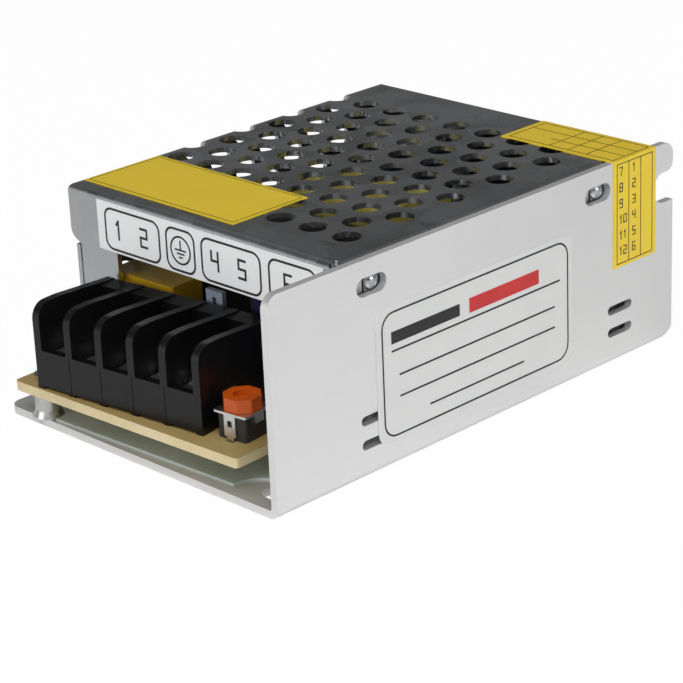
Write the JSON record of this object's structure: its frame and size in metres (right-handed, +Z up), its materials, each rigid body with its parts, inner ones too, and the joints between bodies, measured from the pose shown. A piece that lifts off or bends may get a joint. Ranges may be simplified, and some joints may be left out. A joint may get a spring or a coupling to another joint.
{
  "type": "enclosed switching power supply",
  "caption": "Small enclosed switching power supply with a folded metal chassis, a perforated cover and a screw terminal block with barriers.",
  "frame": {"origin": "centre of the bounding box, on the underside of the base", "axes": "+X towards the solid side wall, +Y from the terminal end to the back, +Z up"},
  "size_m": [0.0582, 0.0869, 0.0321],
  "materials": {
    "chassis_sheet": "satin",
    "cover_sheet": "bright tinned",
    "film": "matt",
    "board_laminate": "matt",
    "bright_metal": "plated",
    "silver_metal": "satin",
    "tin": "tinned",
    "black_moulding": "semi-gloss",
    "black_package": "matt",
    "orange_moulding": "gloss",
    "amber_box": "gloss",
    "white_package": "matt",
    "blue_disc": "gloss",
    "green_disc": "gloss",
    "sleeve": "gloss",
    "ferrite": "matt",
    "copper_wire": "enamelled",
    "yellow_tape": "matt",
    "tan_body": "matt",
    "white_label": "semi-gloss",
    "yellow_label": "semi-gloss"
  },
  "bodies": {
    "case": {"chassis": "chassis_sheet", "mesh_cover": "cover_sheet", "insulating_sheet": "film", "circuit_board": "board_laminate", "standoffs": "silver_metal", "board_screws": "bright_metal", "terminal_block": "black_moulding", "terminal_contacts": "tin", "trimmer_body": "black_package", "trimmer_frame": "tin", "box_capacitor": "amber_box", "earth_strip": "tin", "fuse": "sleeve", "filter_core": "ferrite", "filter_winding": "copper_wire", "rectifier_diodes": "black_package", "thermistor": "green_disc", "bulk_capacitor": "sleeve", "transformer_core": "ferrite", "transformer_bobbin": "black_package", "transformer_winding": "yellow_tape", "rear_heatsink": "silver_metal", "switch_transistor": "black_package", "front_heatsink": "silver_metal", "output_rectifier": "black_package", "heatsink_screws": "bright_metal", "output_capacitors": "sleeve", "output_inductor": "ferrite", "bridging_capacitor": "blue_disc", "optocoupler": "white_package", "control_chip": "black_package", "resistors": "tan_body", "legend_label": "white_label", "front_label": "yellow_label", "rating_label": "white_label", "seal_label": "yellow_label"},
    "clamp_1": {"terminal_clamp_1": "bright_metal"},
    "screw_1": {"terminal_screw_1": "bright_metal"},
    "clamp_2": {"terminal_clamp_2": "bright_metal"},
    "screw_2": {"terminal_screw_2": "bright_metal"},
    "clamp_3": {"terminal_clamp_3": "bright_metal"},
    "screw_3": {"terminal_screw_3": "bright_metal"},
    "clamp_4": {"terminal_clamp_4": "bright_metal"},
    "screw_4": {"terminal_screw_4": "bright_metal"},
    "clamp_5": {"terminal_clamp_5": "bright_metal"},
    "screw_5": {"terminal_screw_5": "bright_metal"},
    "rotor": {"trimmer_rotor": "orange_moulding"}
  },
  "joints": [
    {"name": "clamp_1_lift", "type": "slide", "parent": "case", "child": "clamp_1", "axis": [0, 0, 1], "range_m": [0, 0.0025]},
    {"name": "screw_1_turn", "type": "hinge", "parent": "clamp_1", "child": "screw_1", "pos_m": [-0.01653, -0.03556, 0.0139], "axis": [0, 0, 1], "range_deg": [0, 1800]},
    {"name": "clamp_2_lift", "type": "slide", "parent": "case", "child": "clamp_2", "axis": [0, 0, 1], "range_m": [0, 0.0025]},
    {"name": "screw_2_turn", "type": "hinge", "parent": "clamp_2", "child": "screw_2", "pos_m": [-0.01047, -0.03487, 0.0139], "axis": [0, 0, 1], "range_deg": [0, 1800]},
    {"name": "clamp_3_lift", "type": "slide", "parent": "case", "child": "clamp_3", "axis": [0, 0, 1], "range_m": [0, 0.0025]},
    {"name": "screw_3_turn", "type": "hinge", "parent": "clamp_3", "child": "screw_3", "pos_m": [-0.00441, -0.03418, 0.0139], "axis": [0, 0, 1], "range_deg": [0, 1800]},
    {"name": "clamp_4_lift", "type": "slide", "parent": "case", "child": "clamp_4", "axis": [0, 0, 1], "range_m": [0, 0.0025]},
    {"name": "screw_4_turn", "type": "hinge", "parent": "clamp_4", "child": "screw_4", "pos_m": [0.00165, -0.03349, 0.0139], "axis": [0, 0, 1], "range_deg": [0, 1800]},
    {"name": "clamp_5_lift", "type": "slide", "parent": "case", "child": "clamp_5", "axis": [0, 0, 1], "range_m": [0, 0.0025]},
    {"name": "screw_5_turn", "type": "hinge", "parent": "clamp_5", "child": "screw_5", "pos_m": [0.00771, -0.0328, 0.0139], "axis": [0, 0, 1], "range_deg": [0, 1800]},
    {"name": "rotor_turn", "type": "hinge", "parent": "case", "child": "rotor", "pos_m": [0.01588, -0.03499, 0.0119], "axis": [0, 0, 1], "range_deg": [-130, 130]}
  ],
  "couplings": [
    {"joint": "screw_1_turn", "follows": "clamp_1_lift", "rad_per_m": 12566},
    {"joint": "screw_2_turn", "follows": "clamp_2_lift", "rad_per_m": 12566},
    {"joint": "screw_3_turn", "follows": "clamp_3_lift", "rad_per_m": 12566},
    {"joint": "screw_4_turn", "follows": "clamp_4_lift", "rad_per_m": 12566},
    {"joint": "screw_5_turn", "follows": "clamp_5_lift", "rad_per_m": 12566}
  ]
}
